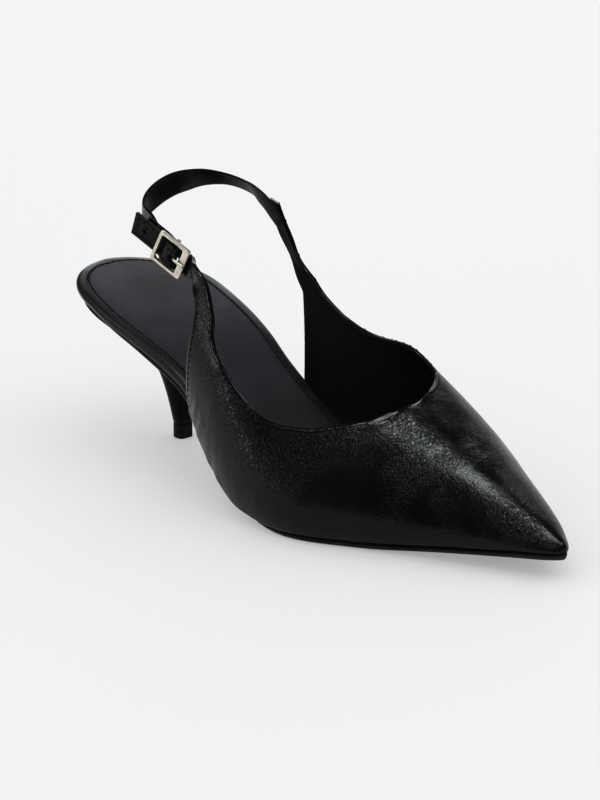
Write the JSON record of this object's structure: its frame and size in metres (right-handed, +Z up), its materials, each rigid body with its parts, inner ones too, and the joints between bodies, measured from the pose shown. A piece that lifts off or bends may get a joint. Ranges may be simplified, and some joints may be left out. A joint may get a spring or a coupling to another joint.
{
  "type": "heeled shoe",
  "caption": "Pointed slingback pump with a slim kitten heel, V throat, low wings and a buckled strap round the heel.",
  "frame": {"origin": "on the floor, under the middle of the shoe's box", "axes": "-Y toward the toe, -X toward the outer (lateral) side, +Z up from the floor"},
  "size_m": [0.087, 0.252, 0.1034],
  "materials": {
    "leather": "glossy black leather with a fine crinkled grain",
    "insole": "satin smooth black lining leather",
    "sole": "matt black",
    "heel": "satin black lacquer",
    "rubber": "matt black",
    "metal": "pale gold plate, polished"
  },
  "bodies": {
    "root": {"outsole": "sole", "heel": "heel", "top_piece": "rubber", "footbed": "insole", "upper": "leather", "sling": "leather", "buckle": "metal", "prong": "metal"}
  },
  "joints": []
}
